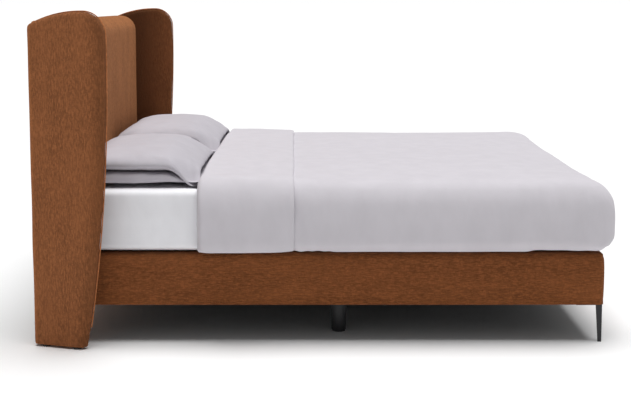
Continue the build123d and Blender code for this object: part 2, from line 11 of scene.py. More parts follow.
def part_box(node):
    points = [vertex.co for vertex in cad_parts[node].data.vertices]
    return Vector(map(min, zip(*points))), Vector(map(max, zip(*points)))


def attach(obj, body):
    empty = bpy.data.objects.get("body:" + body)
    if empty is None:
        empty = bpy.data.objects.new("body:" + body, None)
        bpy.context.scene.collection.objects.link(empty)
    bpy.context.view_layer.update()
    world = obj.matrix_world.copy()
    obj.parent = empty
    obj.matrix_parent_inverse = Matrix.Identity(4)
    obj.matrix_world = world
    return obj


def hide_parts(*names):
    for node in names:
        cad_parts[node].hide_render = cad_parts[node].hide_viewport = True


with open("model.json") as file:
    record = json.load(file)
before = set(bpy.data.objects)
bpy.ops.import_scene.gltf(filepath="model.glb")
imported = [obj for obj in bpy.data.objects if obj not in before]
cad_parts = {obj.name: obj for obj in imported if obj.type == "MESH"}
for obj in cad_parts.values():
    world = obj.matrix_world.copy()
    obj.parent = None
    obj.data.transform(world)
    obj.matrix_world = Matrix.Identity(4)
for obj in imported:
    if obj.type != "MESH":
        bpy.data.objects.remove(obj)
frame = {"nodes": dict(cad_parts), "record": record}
duvet_low, duvet_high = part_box("duvet")
bed_low, bed_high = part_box("fitted_sheet")
bed_middle = (bed_low + bed_high) / 2
# As in the CAD: the duvet's fold-back stands above and beside the rest, whose edges are rounded
fold_above, fold_beside, duvet_edge = 0.020, 0.005, 0.070
duvet_top, duvet_half = duvet_high.z - fold_above, duvet_high.y - fold_beside
wing_flare = radians(18)
# A wing's front edge is read once for each of so many levels in a metre of height
levels_per_metre = 100

bl_info = {
    "name": "Winged box spring bed",
    "version": (1, 0, 0),
    "blender": (4, 5, 0),
    "location": "View3D > Sidebar > Bed",
    "description": "Upholstery, bedding, finishes and stage for a box spring bed with flared wings",
    "category": "Object",
}


# Colours

def linear(hex_code):
    """An sRGB hex colour as linear values with full alpha."""
    values = [int(hex_code[i:i + 2], 16) / 255 for i in (1, 3, 5)]
    bright = [v / 12.92 if v <= 0.04045 else ((v + 0.055) / 1.055) ** 2.4 for v in values]
    return (*bright, 1.0)


def colour(name, description, hex_code):
    """A setting that holds a colour."""
    return FloatVectorProperty(
        name=name, description=description, default=linear(hex_code), size=4, subtype="COLOR",
    )


def length(name, description, default):
    """A setting that holds a length in metres."""
    return FloatProperty(name=name, description=description, default=default, unit="LENGTH", precision=4)


# Settings that a user would change

class UpholsterySettings(PropertyGroup):
    """Sizes of the covers on the headboard, its wings and the base."""
    wing_mesh: length("Wing mesh", "Spacing of the wing covers' mesh", 0.007)
    panel_mesh: length("Panel mesh", "Spacing of the headboard cover's mesh", 0.011)
    wing_front_roll: length("Wing front roll", "Width over which a wing's outside curves in to its front", 0.075)
    wing_front_thin: length("Wing front thinning", "How much thinner a wing is at its front edge", 0.0115)
    welt_radius: length("Welt radius", "Half the thickness of the welt on the wings' front edges", 0.0024)
    panel_draw: length("Panel draw", "How far the headboard cushion's edges are pulled back", 0.009)
    panel_round: length("Panel rounding", "Rounding of the headboard cushion's top front edge", 0.080)
    lining_depth: length("Lining depth", "How far the covers stand back behind the black linings", 0.003)
    base_mesh: length("Base mesh", "Spacing of the base cover's mesh", 0.012)
    base_edge: length("Base edge", "Rounding of the base's upper edges", 0.015)
    base_corner: length("Base corner", "Rounding of the base's upright corners", 0.016)


class BeddingSettings(PropertyGroup):
    """Sizes of the mattress sheet, the duvet and the pillows."""
    sheet_mesh: length("Sheet mesh", "Spacing of the fitted sheet's mesh", 0.016)
    sheet_thickness: length("Sheet thickness", "Thickness of the fitted sheet's cloth", 0.0015)
    sheet_crown: length("Mattress crown", "How much lower the mattress top is at its edges", 0.006)
    sheet_turn: length("Sheet turn", "How far the fitted sheet is drawn in under the mattress", 0.012)
    sheet_lift: length("Sheet lift", "How far the mattress's lower edge stands off the base", 0.012)
    ticking_mesh: length("Ticking mesh", "Spacing of the ticking's mesh", 0.02)
    duvet_mesh: length("Duvet mesh", "Spacing of the duvet's mesh", 0.016)
    duvet_crown: length("Duvet crown", "How much higher the duvet is in its middle than at its edges", 0.015)
    duvet_shoulder: length("Duvet shoulder", "Height over which the duvet rounds from its sides to its top", 0.120)
    duvet_side_round: length("Duvet side rounding", "Width of that rounding at the sides", 0.080)
    duvet_foot_round: length("Duvet foot rounding", "Width of that rounding at the foot", 0.115)
    duvet_fold_depth: length("Duvet folds", "Depth of the soft upright folds at the duvet's hem", 0.008)
    duvet_swell: length("Duvet swell", "Furthest that the filling pushes the duvet's cover", 0.006)
    duvet_foot_tuck: length("Duvet foot tuck", "How far the hem turns in at the foot", 0.017)
    duvet_side_tuck: length("Duvet side tuck", "How far the hem turns in at the sides", 0.010)
    fold_length: length("Fold-back length", "From the duvet's head edge to the end of its fold-back", 0.3475)
    fold_skew: length("Fold-back skew", "How much longer the fold-back is on the near side of the bed", 0.0165)
    fold_step: length("Fold-back step", "How far the fold-back stands above the duvet", 0.026)
    fold_side_step: length("Fold-back side step", "How far the fold-back stands out at the sides", 0.017)
    fold_edge: length("Fold-back edge", "Thickness of the fold-back's hem", 0.020)
    fold_head: length("Fold-back turn", "Rounding where the duvet is folded at its head", 0.020)
    pillow_mesh: length("Pillow mesh", "Spacing of the pillows' mesh", 0.0095)
    pillow_swell: length("Pillow swell", "Furthest that the filling pushes a pillow's cover", 0.006)
    pillow_draw: length("Pillow draw", "How far a pillow's sides are drawn in between its corners", 0.007)
    pillow_sag: length("Pillow sag", "How far an upper pillow's foot edge sinks below its middle", 0.034)
    pillow_fill: FloatProperty(
        name="Pillow fill", description="Height of an upper pillow's top as a share of its box", default=0.73, min=0,
    )
    pillow_reach: length("Pillow reach", "How far a pillow's filling pushes it towards the duvet", 0.021)
    pillow_droop: length("Pillow droop", "How far an upper pillow's free corners hang down", 0.055)
    pressure: FloatProperty(name="Pressure", description="Filling pressure in the cloth simulation", default=4.0)
    frames: IntProperty(name="Frames", description="Frames that the cloth simulation runs", default=12)


class ColourSettings(PropertyGroup):
    """Base colours of the finishes."""
    wings: colour("Wing chenille", "Brown of the wings' brushed chenille", "#925B38")
    base: colour("Base chenille", "Deeper brown of the base's brushed chenille", "#834E2C")
    panel: colour("Panel chenille", "Lighter brown of the headboard's centre cushion", "#A46A41")
    sheet: colour("Fitted sheet", "White of the fitted sheet", "#F8F8FC")
    duvet: colour("Duvet cover", "Pale lilac grey of the duvet cover", "#D2CED4")
    pillow: colour("Pillow cases", "Pale lilac grey of the pillow cases", "#C2BEC5")
    floor: colour("Floor", "Plain pale floor", "#F8F8F8")


class StageSettings(PropertyGroup):
    """Camera and lights."""
    lens: FloatProperty(name="Lens", description="Focal length in millimetres", default=68.2)
    camera_distance: length("Camera distance", "From the bed's middle line", 5.32)
    camera_height: length("Camera height", "Above the floor", 1.279)
    camera_side: length("Camera side", "Along the bed from its middle", -0.041)
    camera_pitch: FloatProperty(name="Pitch", description="Downward tilt", default=radians(6.39), subtype="ANGLE")
    camera_shift: FloatProperty(name="Shift", description="Vertical lens shift", default=-0.10)
    floor_size: length("Floor size", "Side of the floor", 2000.0)
    overhead: FloatProperty(name="Overhead light", description="Strength of the soft light above", default=3.0)
    overhead_spread: FloatProperty(
        name="Overhead spread", description="How wide the light above is", default=radians(42), subtype="ANGLE",
    )
    surround: FloatProperty(name="Surround", description="Strength of the even light all round", default=0.23)


def upholstery():
    return bpy.context.scene.bed_upholstery


def bedding():
    return bpy.context.scene.bed_bedding


def colours():
    return bpy.context.scene.bed_colours


# Small tools for meshes

def choose(piece):
    """Select one object alone and make it active."""
    bpy.ops.object.select_all(action="DESELECT")
    piece.select_set(True)
    bpy.context.view_layer.objects.active = piece


def new_piece(name, mesh):
    """A selected object in the scene that holds a mesh."""
    piece = bpy.data.objects.new(name, mesh)
    bpy.context.scene.collection.objects.link(piece)
    choose(piece)
    return piece


def node_copy(node, name):
    """A new object from a merged copy of a CAD node's mesh."""
    piece = new_piece(name, frame["nodes"][node].data.copy())
    piece.data.materials.clear()
    edit(piece, lambda: bpy.ops.mesh.remove_doubles(threshold=0.00001))
    return piece


def hull_copy(node, name, spacing):
    """A filled-out copy of a CAD node's hollow cover, with an even mesh."""
    piece = node_copy(node, name)
    edit(piece, lambda: bpy.ops.mesh.convex_hull())
    remesh(piece, spacing)
    return piece


def edit(piece, work):
    """Run operators in edit mode with the whole piece selected."""
    choose(piece)
    bpy.ops.object.mode_set(mode="EDIT")
    bpy.ops.mesh.select_all(action="SELECT")
    work()
    bpy.ops.object.mode_set(mode="OBJECT")


def block(name, low, high):
    """A box between two corners, its place in its mesh."""
    low, high = Vector(low), Vector(high)
    bpy.ops.object.select_all(action="DESELECT")
    bpy.ops.mesh.primitive_cube_add(size=1, location=(low + high) / 2, scale=high - low)
    bpy.ops.object.transform_apply(location=True, rotation=True, scale=True)
    piece = bpy.context.active_object
    piece.name = piece.data.name = name
    return piece


def finish_with(piece, kind, **settings):
    """Add a modifier with its settings and apply it."""
    choose(piece)
    modifier = piece.modifiers.new(kind, kind)
    for name, value in settings.items():
        setattr(modifier, name, value)
    bpy.ops.object.modifier_apply(modifier=modifier.name)


def stands(way):
    """Whether an edge stands upright."""
    return abs(way.z) > 0.9


def lies(way):
    """Whether an edge lies level."""
    return abs(way.z) < 0.1


def round_edges(piece, test, radius, steps):
    """Round the edges of a piece whose middle and direction pass a test."""
    form = bmesh.new()
    form.from_mesh(piece.data)
    chosen = []
    for edge in form.edges:
        a, b = (vertex.co for vertex in edge.verts)
        if test((a + b) / 2, (b - a).normalized()):
            chosen.append(edge)
    bmesh.ops.bevel(
        form, geom=chosen, offset=radius, segments=steps, profile=0.5, affect="EDGES", clamp_overlap=True,
    )
    form.to_mesh(piece.data)
    form.free()


def remesh(piece, size, smoothing=3):
    """An even mesh of one spacing, lightly smoothed."""
    finish_with(piece, "REMESH", mode="VOXEL", voxel_size=size)
    finish_with(piece, "SMOOTH", factor=0.5, iterations=smoothing)


def shape(piece, move):
    """Set every point of a piece by a function of its place and normal."""
    moved = [move(vertex.co.copy(), vertex.normal.copy()) for vertex in piece.data.vertices]
    for vertex, place in zip(piece.data.vertices, moved):
        vertex.co = place
    piece.data.update()


def swell(piece, cap):
    """Fill a closed cover as cloth under pressure, no point moving further than the cap."""
    settings = bedding()
    choose(piece)
    modifier = piece.modifiers.new("Filling", "CLOTH")
    cloth = modifier.settings
    cloth.use_pressure = True
    cloth.uniform_pressure_force = settings.pressure
    cloth.effector_weights.gravity = 0
    cloth.tension_stiffness = cloth.compression_stiffness = 15
    cloth.bending_stiffness = 0.5
    modifier.point_cache.frame_end = settings.frames
    for number in range(1, settings.frames + 1):
        bpy.context.scene.frame_set(number)
    shown = piece.evaluated_get(bpy.context.evaluated_depsgraph_get())
    places = [vertex.co.copy() for vertex in shown.data.vertices]
    for vertex, place in zip(piece.data.vertices, places):
        step = place - vertex.co
        if step.length > cap:
            step *= cap / step.length
        vertex.co = vertex.co + step
    piece.modifiers.remove(modifier)
    bpy.context.scene.frame_set(1)
    piece.data.update()


def ripple(place, spacing, seed):
    """Smooth noise from -1 to 1 with bumps about one spacing apart; a seed only picks another stretch of it."""
    return noise.noise(place / spacing + Vector((seed, 2 * seed, 3 * seed)))


def eased(value):
    """0 to 1, slow at both ends."""
    value = min(max(value, 0), 1)
    return value * value * (3 - 2 * value)


def mirrored(piece, name):
    """The same piece on the other side of the bed, with its own mesh."""
    other = new_piece(name, piece.data.copy())
    other.data.transform(Matrix.Scale(-1, 4, (0, 1, 0)))
    other.data.flip_normals()
    return other


def smooth_faces(piece, degrees=60):
    """Shade a piece smooth, except over edges sharper than an angle."""
    choose(piece)
    bpy.ops.object.shade_smooth_by_angle(angle=radians(degrees))


def dress(piece, body, material, nodes):
    """Give a piece its body, finish and the CAD nodes that it stands for."""
    piece.data.materials.clear()
    piece.data.materials.append(material)
    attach(piece, body)
    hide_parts(*nodes)


# Materials

def add_node(tree, kind, settings, inputs):
    """Add a shader node: settings are its own, inputs are values or other nodes' sockets."""
    made = tree.nodes.new("ShaderNode" + kind)
    for name, value in settings.items():
        setattr(made, name, value)
    for name, value in inputs.items():
        if isinstance(value, bpy.types.NodeSocket):
            tree.links.new(value, made.inputs[name])
        else:
            made.inputs[name].default_value = value
    return made


def new_material(name):
    """An empty material with its tree and the object's own coordinates."""
    material = bpy.data.materials.new(name)
    material.use_nodes = True
    tree = material.node_tree
    tree.nodes.clear()
    place = add_node(tree, "TexCoord", {}, {}).outputs["Object"]
    return material, tree, place


def surface(tree, colour_socket, normal, **inputs):
    """The one shader of a material and its output."""
    shader = add_node(tree, "BsdfPrincipled", {}, {"Base Color": colour_socket, "Normal": normal, **inputs})
    add_node(tree, "OutputMaterial", {}, {"Surface": shader.outputs[0]})


def blended(tree, factor, first, second):
    """One colour turning to another as a factor goes from 0 to 1."""
    return add_node(tree, "Mix", {"data_type": "RGBA"}, {0: factor, 6: first, 7: second}).outputs[2]


def streaks(tree, place, direction, across_mm, along_mm, detail=3.0):
    """Noise drawn out along one axis, sized in millimetres across and along."""
    scale = [1000 / across_mm] * 3
    scale["xyz".index(direction)] = 1000 / along_mm
    drawn = add_node(tree, "Mapping", {}, {"Vector": place, "Scale": scale})
    texture = add_node(tree, "TexNoise", {}, {"Vector": drawn.outputs[0], "Scale": 1.0, "Detail": detail})
    return texture.outputs[0]


def grains(tree, place, size_mm, detail=3.0):
    """Noise that is even in all directions, of a size in millimetres."""
    return streaks(tree, place, "x", across_mm=size_mm, along_mm=size_mm, detail=detail)


def share(tree, value, amount):
    """A noise made weaker by a factor."""
    return add_node(tree, "Math", {"operation": "MULTIPLY"}, {0: value, 1: amount}).outputs[0]


def levels(tree, value, low, high):
    """Stretch a noise so that low becomes 0 and high becomes 1."""
    return add_node(tree, "MapRange", {}, {0: value, 1: low, 2: high}).outputs[0]


def bump(tree, height, depth_mm, below=None):
    """Relief of a depth in millimetres, on top of another relief if there is one below."""
    inputs = {"Height": height, "Distance": depth_mm / 1000, "Strength": 1.0}
    if below is not None:
        inputs["Normal"] = below
    return add_node(tree, "Bump", {}, inputs).outputs[0]


def toned(main, factor):
    """A colour made lighter or darker."""
    return [min(value * factor, 1) for value in main[:3]] + [1]


def bands(tree, place, pitch_mm, direction, **inputs):
    """Bands of a pitch in millimetres. At scale 1 the texture repeats every 2 pi / 20 metres."""
    pitch = pitch_mm / 1000
    settings = {"wave_type": "BANDS", "bands_direction": direction}
    wave = add_node(tree, "TexWave", settings, {"Vector": place, "Scale": 2 * pi / 20 / pitch, **inputs})
    return wave.outputs["Fac"]


def chenille(name, main, direction):
    """Brushed chenille: soft slubs of short pile, drawn about twice their real size so that they show.

    A point attribute paints light and shade on the cloth: at 1 a painted highlight, at -1 painted shade.
    """
    material, tree, place = new_material(name)
    crosswise = "x" if direction == "z" else "z"
    slub = levels(tree, streaks(tree, place, direction, across_mm=4, along_mm=22), 0.36, 0.64)
    cross = levels(tree, streaks(tree, place, crosswise, across_mm=4, along_mm=14), 0.42, 0.66)
    fleck = levels(tree, streaks(tree, place, direction, across_mm=6, along_mm=11, detail=4.0), 0.48, 0.68)
    wide = levels(tree, streaks(tree, place, direction, across_mm=70, along_mm=260), 0.3, 0.7)
    painted_light = add_node(tree, "Attribute", {"attribute_name": "painted_light"}, {}).outputs["Fac"]
    body = blended(tree, slub, toned(main, 0.70), toned(main, 1.34))
    body = blended(tree, share(tree, cross, 0.40), body, toned(main, 0.60))
    body = blended(tree, share(tree, fleck, 0.60), body, toned(main, 0.44))
    body = blended(tree, share(tree, wide, 0.36), body, toned(main, 1.4))
    # Painted highlight where the point attribute is above 0, painted shade where it is below 0
    body = blended(tree, levels(tree, painted_light, 0, 1), body, toned(main, 1.7))
    body = blended(tree, levels(tree, painted_light, 0, -1), body, toned(main, 0.35))
    relief = bump(tree, fleck, 0.6, bump(tree, slub, 0.9))
    surface(
        tree, body, relief, Roughness=0.92,
        **{"Sheen Weight": 0.06, "Sheen Roughness": 0.5, "Sheen Tint": (0.9, 0.6, 0.4, 1), "Specular IOR Level": 0.12},
    )
    return material


def cotton(name, main, crease_mm):
    """Washed cotton percale: matt, softly creased, its weave drawn at four times the real pitch."""
    material, tree, place = new_material(name)
    wide = streaks(tree, place, "z", across_mm=60, along_mm=110)
    fine = streaks(tree, place, "z", across_mm=9, along_mm=14)
    weave = bands(tree, place, 1.6, "DIAGONAL", Distortion=1.5, Detail=1.0)
    body = blended(tree, levels(tree, wide, 0.3, 0.7), toned(main, 0.95), main)
    relief = bump(tree, weave, 0.05, bump(tree, fine, 0.2, bump(tree, wide, crease_mm)))
    surface(tree, body, relief, Roughness=0.85, **{"Sheen Weight": 0.08, "Sheen Roughness": 0.4})
    return material


def plain_cloth(name, hex_code, grain_mm, depth_mm, roughness=0.9):
    """Felt, fleece, knit or nonwoven cloth: an even tangle of fibres."""
    material, tree, place = new_material(name)
    main = linear(hex_code)
    grain = grains(tree, place, grain_mm, detail=4.0)
    body = blended(tree, levels(tree, grain, 0.35, 0.65), toned(main, 0.8), main)
    surface(tree, body, bump(tree, grain, depth_mm), Roughness=roughness)
    return material


def quilted_knit(name, hex_code):
    """Mattress ticking: knitted cloth quilted in soft wavy rows about 200 mm apart."""
    material, tree, place = new_material(name)
    main = linear(hex_code)
    rows = bands(tree, place, 196.35, "X", Distortion=2.5, Detail=0.0, **{"Detail Scale": 0.6})
    knit = grains(tree, place, 2.5)
    # Painted shade: the ticking is a little darker in the quilting's grooves
    body = blended(tree, rows, toned(main, 0.88), main)
    surface(tree, body, bump(tree, knit, 0.3, bump(tree, rows, 6.0)), Roughness=0.85)
    return material


def timber(name, light_hex, dark_hex, direction):
    """Planed softwood or ply: long grain with darker late wood and a dry surface."""
    material, tree, place = new_material(name)
    grain = levels(tree, streaks(tree, place, direction, across_mm=14, along_mm=420), 0.35, 0.65)
    fibre = streaks(tree, place, direction, across_mm=1.5, along_mm=60)
    body = blended(tree, grain, linear(dark_hex), linear(light_hex))
    surface(tree, body, bump(tree, fibre, 0.15, bump(tree, grain, 0.2)), Roughness=0.7)
    return material


def hard_finish(name, hex_code, roughness, metallic, grain_mm, depth_mm):
    """Drawn, plated or powder-coated steel and moulded plastic, told apart by gloss and grain."""
    material, tree, place = new_material(name)
    main = linear(hex_code)
    grain = grains(tree, place, grain_mm, detail=2.0)
    body = blended(tree, levels(tree, grain, 0.4, 0.6), toned(main, 0.75), main)
    surface(tree, body, bump(tree, grain, depth_mm), Roughness=roughness, Metallic=metallic)
    return material


# Headboard

def wing_outward():
    """The way that the far wing's outside faces."""
    return Vector((-sin(wing_flare), cos(wing_flare), 0))


def wing_front(piece):
    """How far along X a wing reaches at each level of its height."""
    reach = {}
    for vertex in piece.data.vertices:
        level = round(vertex.co.z * levels_per_metre)
        reach[level] = max(reach.get(level, -10.0), vertex.co.x)
    return reach


def wing_form(name):
    """The far wing's cover: full at its back, with its outside curving in to the front edge."""
    settings = upholstery()
    piece = hull_copy("wing_cover_far", name, settings.wing_mesh)
    outward = wing_outward()
    low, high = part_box("wing_cover_far")
    inner_back = Vector((low.x, low.y, 0))
    reach = wing_front(piece)
    crown_share = 0.5
    outer_depth = 0.045
    wave_depth, wave_apart = 0.0015, 0.16

    def draw_in(place, normal):
        level = place.z * levels_per_metre
        lower = int(level)
        near = reach.get(lower, high.x)
        front = near + (reach.get(lower + 1, near) - near) * (level - lower)
        closeness = eased(1 - (front - place.x) / settings.wing_front_roll)
        top = eased(1 - (high.z - place.z) / settings.wing_front_roll) * crown_share
        depth = (place - inner_back).dot(outward)
        thin = settings.wing_front_thin * max(closeness, top) * eased(depth / outer_depth)
        wave = wave_depth * ripple(place, wave_apart, 3)
        return place - outward * thin + normal * (wave - wave_depth)

    shape(piece, draw_in)
    finish_with(piece, "SMOOTH", factor=0.5, iterations=4)
    # Painted highlight and painted shade on the wing's cloth
    paint_wing_light(piece, reach)
    return piece


def paint_wing_light(piece, reach):
    """Paint light and shade on a wing's cloth: a painted highlight along its back rim, painted shade at its rolled
    front and on its inner face.
    """
    low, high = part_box("wing_cover_far")
    outward = wing_outward()
    roll = upholstery().wing_front_roll
    rim_width, rim_highlight, front_shade = 0.022, 0.55, 0.46
    # Painted shade on the inner face: darkest beside the panel and less towards the front
    inner_rise, inner_start, inner_width = 0.55, 0.12, 0.17
    painted_light = piece.data.attributes.new("painted_light", "FLOAT", "POINT")
    for vertex in piece.data.vertices:
        level = min(max(vertex.co.z, low.z), high.z) * levels_per_metre
        front = reach.get(round(level), high.x)
        rolled = eased(1 - (front - vertex.co.x) / roll)
        rim = eased(1 - (vertex.co.x - low.x) / rim_width)
        # Painted highlight along the back rim, painted shade towards the rolled front
        painted_value = rim_highlight * rim - front_shade * rolled
        if vertex.normal.dot(outward) < -0.5:
            painted_value = -1 + inner_rise * eased((vertex.co.x - low.x - inner_start) / inner_width)
        painted_light.data[vertex.index].value = painted_value


def wing_welt(name):
    """The thin welt sewn along the inner edge of the far wing's front and crown."""
    piece = node_copy("wing_cover_far", name)
    outward = wing_outward()
    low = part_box("wing_cover_far")[0]
    # The welt is left out along the back and the floor, and points closer than a knot are merged
    seam_depth, hidden, knot = 0.010, 0.004, 0.002
    cut = Vector((low.x, low.y, 0)) + outward * seam_depth

    def outline():
        bpy.ops.mesh.convex_hull()
        bpy.ops.mesh.select_all(action="SELECT")
        bpy.ops.mesh.bisect(plane_co=cut, plane_no=outward, clear_inner=True, clear_outer=True, use_fill=False)

    edit(piece, outline)
    form = bmesh.new()
    form.from_mesh(piece.data)
    unseen = [v for v in form.verts if v.co.x < low.x + hidden or v.co.z < low.z + hidden]
    bmesh.ops.delete(form, geom=unseen, context="VERTS")
    bmesh.ops.remove_doubles(form, verts=form.verts, dist=knot)
    form.to_mesh(piece.data)
    form.free()
    choose(piece)
    bpy.ops.object.convert(target="CURVE")
    piece = bpy.context.active_object
    piece.data.bevel_depth = upholstery().welt_radius
    piece.data.bevel_resolution = 2
    piece.data.use_fill_caps = True
    bpy.ops.object.convert(target="MESH")
    piece = bpy.context.active_object
    piece.name = piece.data.name = name
    return piece


class BED_OT_wings(Operator):
    """Upholster the two flared wings, each with a welt along its front edge"""
    bl_idname = "bed.wings"
    bl_label = "Wings"

    def execute(self, context):
        tones = colours()
        cloth = chenille("Brushed chenille, wings", tones.wings, "z")
        # The welt's cloth is the wings' brown made much lighter: a painted highlight along the wings' front edges
        welt_highlight_cloth = chenille("Chenille welt, painted highlight", toned(tones.wings, 1.7), "z")
        far = wing_form("wing_pad_far")
        near = mirrored(far, "wing_pad_near")
        far_welt = wing_welt("wing_welt_far")
        near_welt = mirrored(far_welt, "wing_welt_near")
        for side, pad, welt in (("far", far, far_welt), ("near", near, near_welt)):
            smooth_faces(pad)
            smooth_faces(welt)
            dress(pad, "bed_frame", cloth, ["wing_cover_" + side, "wing_foam_" + side])
            welt.data.materials.clear()
            welt.data.materials.append(welt_highlight_cloth)
            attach(welt, "bed_frame")
        return {"FINISHED"}


class BED_OT_headboard(Operator):
    """Upholster the headboard's centre cushion and close its back with black cloth"""
    bl_idname = "bed.headboard"
    bl_label = "Headboard"

    def execute(self, context):
        settings = upholstery()
        low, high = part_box("headboard_cover")
        piece = hull_copy("headboard_cover", "headboard_pad", settings.panel_mesh)
        side_edge, side_width = 0.03, 0.12
        crown_width, crown_share = 0.05, 0.3
        wave_depth, wave_apart = 0.0018, 0.35
        rim_width = 0.012

        def draw(place, normal):
            side = eased(1 - (high.y - abs(place.y) - side_edge) / side_width)
            crown = eased(1 - (high.z - place.z) / crown_width)
            front = eased((place.x - low.x) / (high.x - low.x))
            back = settings.panel_draw * front * max(side, crown * crown_share)
            turn = Vector((high.x - settings.panel_round, place.y, high.z - settings.panel_round))
            out = place - turn
            if out.x > 0 and out.z > 0 and out.length > settings.panel_round:
                place = turn + out * settings.panel_round / out.length
            wave = wave_depth * (ripple(place, wave_apart, 5) - 1) * front
            under = settings.lining_depth * eased(1 - (place.x - low.x) / rim_width)
            return Vector((place.x - back + wave + under, place.y, place.z))

        shape(piece, draw)
        finish_with(piece, "SMOOTH", factor=0.5, iterations=3)
        smooth_faces(piece)
        cloth = chenille("Brushed chenille, headboard", colours().panel, "z")
        dress(piece, "bed_frame", cloth, ["headboard_cover", "headboard_foam"])
        low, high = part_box("headboard_back_cloth")
        lining = cloth_sheet("headboard_back_lining", low, high, 0.03)
        black = bpy.data.materials["Black nonwoven cloth"]
        dress(lining, "bed_frame", black, ["headboard_back_cloth"])
        return {"FINISHED"}


# Base

def cloth_sheet(name, low, high, spacing):
    """A thin flat lining between two corners, cut into an even grid."""
    piece = block(name, low, high)
    longest, most_cuts = max(high - low), 40
    edit(piece, lambda: bpy.ops.mesh.subdivide(number_cuts=min(most_cuts, int(longest / spacing / 2))))
    return piece


def base_lining(name, node, low, high):
    """Stretch a black lining over the base's top or underside. Its cloth is made with the finishes."""
    lining = cloth_sheet(name, low, high, 0.05)
    dress(lining, "bed_frame", bpy.data.materials["Black nonwoven cloth"], [node])


class BED_OT_base(Operator):
    """Upholster the box base and close its top and underside with black cloth"""
    bl_idname = "bed.base"
    bl_label = "Base"

    def execute(self, context):
        settings = upholstery()
        low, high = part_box("base_cover")
        above_linings, below_mattress = 0.0003, 0.0008
        bottom, top = Vector((low.x, low.y, low.z + above_linings)), Vector((high.x, high.y, high.z - below_mattress))
        piece = block("base_pad", bottom, top)
        half_way, head_gap = (low.z + high.z) / 2, 0.001
        round_edges(piece, lambda middle, way: stands(way) and middle.x > 0, settings.base_corner, 6)
        round_edges(
            piece, lambda middle, way: lies(way) and middle.x > low.x + head_gap and middle.z > half_way,
            settings.base_edge, 4,
        )
        remesh(piece, settings.base_mesh, 1)
        # The cover's hem is drawn flat under the frame, and hides the rails' lower edges
        hem_height, hem_width, hem_flat, hem_out = 0.014, 0.016, 0.1, 0.003
        wave_depth, wave_apart = 0.0012, 0.22
        dimple_depth, dimple_apart = 0.0006, 0.05
        edge_draw = 0.004
        platform_thickness, dust_thickness = 0.0012, 0.0011

        def pad(place, normal):
            sideways = Vector((normal.x, normal.y, 0))
            above = place.z - low.z
            if above < hem_height:
                inside = abs(place.y) < high.y - hem_width and place.x < high.x - hem_width
                behind = settings.lining_depth if inside else 0
                return Vector((place.x, place.y, low.z + above * hem_flat + behind)) + sideways * hem_out
            if abs(normal.z) > 0.7:
                return place
            wave = wave_depth * (ripple(place, wave_apart, 7) - 1) + dimple_depth * ripple(place, dimple_apart, 8)
            drawn = edge_draw * (abs(place.z - half_way) / (high.z - half_way)) ** 3
            return place + sideways * (wave - drawn)

        shape(piece, pad)
        smooth_faces(piece)
        dress(
            piece, "bed_frame", chenille("Brushed chenille, base", colours().base, "x"),
            ["base_cover", "base_side_wadding", "spring_felt", "base_top_foam"],
        )
        low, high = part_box("base_platform_cloth")
        bottom = Vector((low.x, low.y, high.z - platform_thickness))
        base_lining("platform_lining", "base_platform_cloth", bottom, high)
        low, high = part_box("base_dust_cloth")
        top = Vector((high.x, high.y, low.z + dust_thickness))
        base_lining("dust_lining", "base_dust_cloth", low, top)
        return {"FINISHED"}


class BED_OT_legs(Operator):
    """Turn the round support legs, narrower and rounded at the floor"""
    bl_idname = "bed.legs"
    bl_label = "Legs"

    def execute(self, context):
        low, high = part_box("support_legs")
        radius = (high.x - low.x) / 2
        centre_x = (high.x + low.x) / 2
        side = high.y - radius
        foot_share, edge_round = 0.9, 0.003
        made = []
        for y in (0.0, side, -side):
            bpy.ops.object.select_all(action="DESELECT")
            bpy.ops.mesh.primitive_cylinder_add(
                vertices=64, radius=radius, depth=high.z - low.z, location=(centre_x, y, (low.z + high.z) / 2),
            )
            bpy.ops.object.transform_apply(location=True, rotation=True, scale=True)
            leg = bpy.context.active_object

            def taper(place, normal):
                up = (place.z - low.z) / (high.z - low.z)
                narrow = foot_share + (1 - foot_share) * up
                return Vector((centre_x + (place.x - centre_x) * narrow, y + (place.y - y) * narrow, place.z))

            shape(leg, taper)
            round_edges(leg, lambda middle, way: lies(way), edge_round, 3)
            made.append(leg)
        choose(made[0])
        for leg in made[1:]:
            leg.select_set(True)
        bpy.ops.object.join()
        piece = bpy.context.active_object
        piece.name = piece.data.name = "turned_support_legs"
        smooth_faces(piece, 40)
        # Moulded legs: a soft dull gloss over a faint orange peel
        plastic = hard_finish(
            "Moulded black plastic", "#2B2B2D", roughness=0.5, metallic=0.0, grain_mm=3, depth_mm=0.05,
        )
        dress(piece, "bed_frame", plastic, ["support_legs"])
        return {"FINISHED"}


# Mattress

def mattress_form(name, inset, corner, edge, spacing):
    """The mattress's box shape, smaller by an inset all round, with rounded corners and edges."""
    shift = Vector((inset, inset, inset))
    piece = block(name, bed_low + shift, bed_high - shift)
    round_edges(piece, lambda middle, way: stands(way), corner, 10)
    round_edges(piece, lambda middle, way: lies(way), edge, 6)
    remesh(piece, spacing, 2)
    return piece


def turn_under(place, normal):
    """Draw the mattress's lower edge in, and lift it a little off the base."""
    settings = bedding()
    lift_height, lift_width = 0.05, 0.09
    above = place.z - bed_low.z
    turned = settings.sheet_turn * eased(1 - above / settings.sheet_turn / 1.5)
    inward = min((bed_high.x - bed_low.x) / 2 - abs(place.x - bed_middle.x), bed_high.y - abs(place.y))
    lift = settings.sheet_lift * eased(1 - above / lift_height) * eased(1 - inward / lift_width)
    return place - Vector((normal.x, normal.y, 0)) * turned + Vector((0, 0, lift))


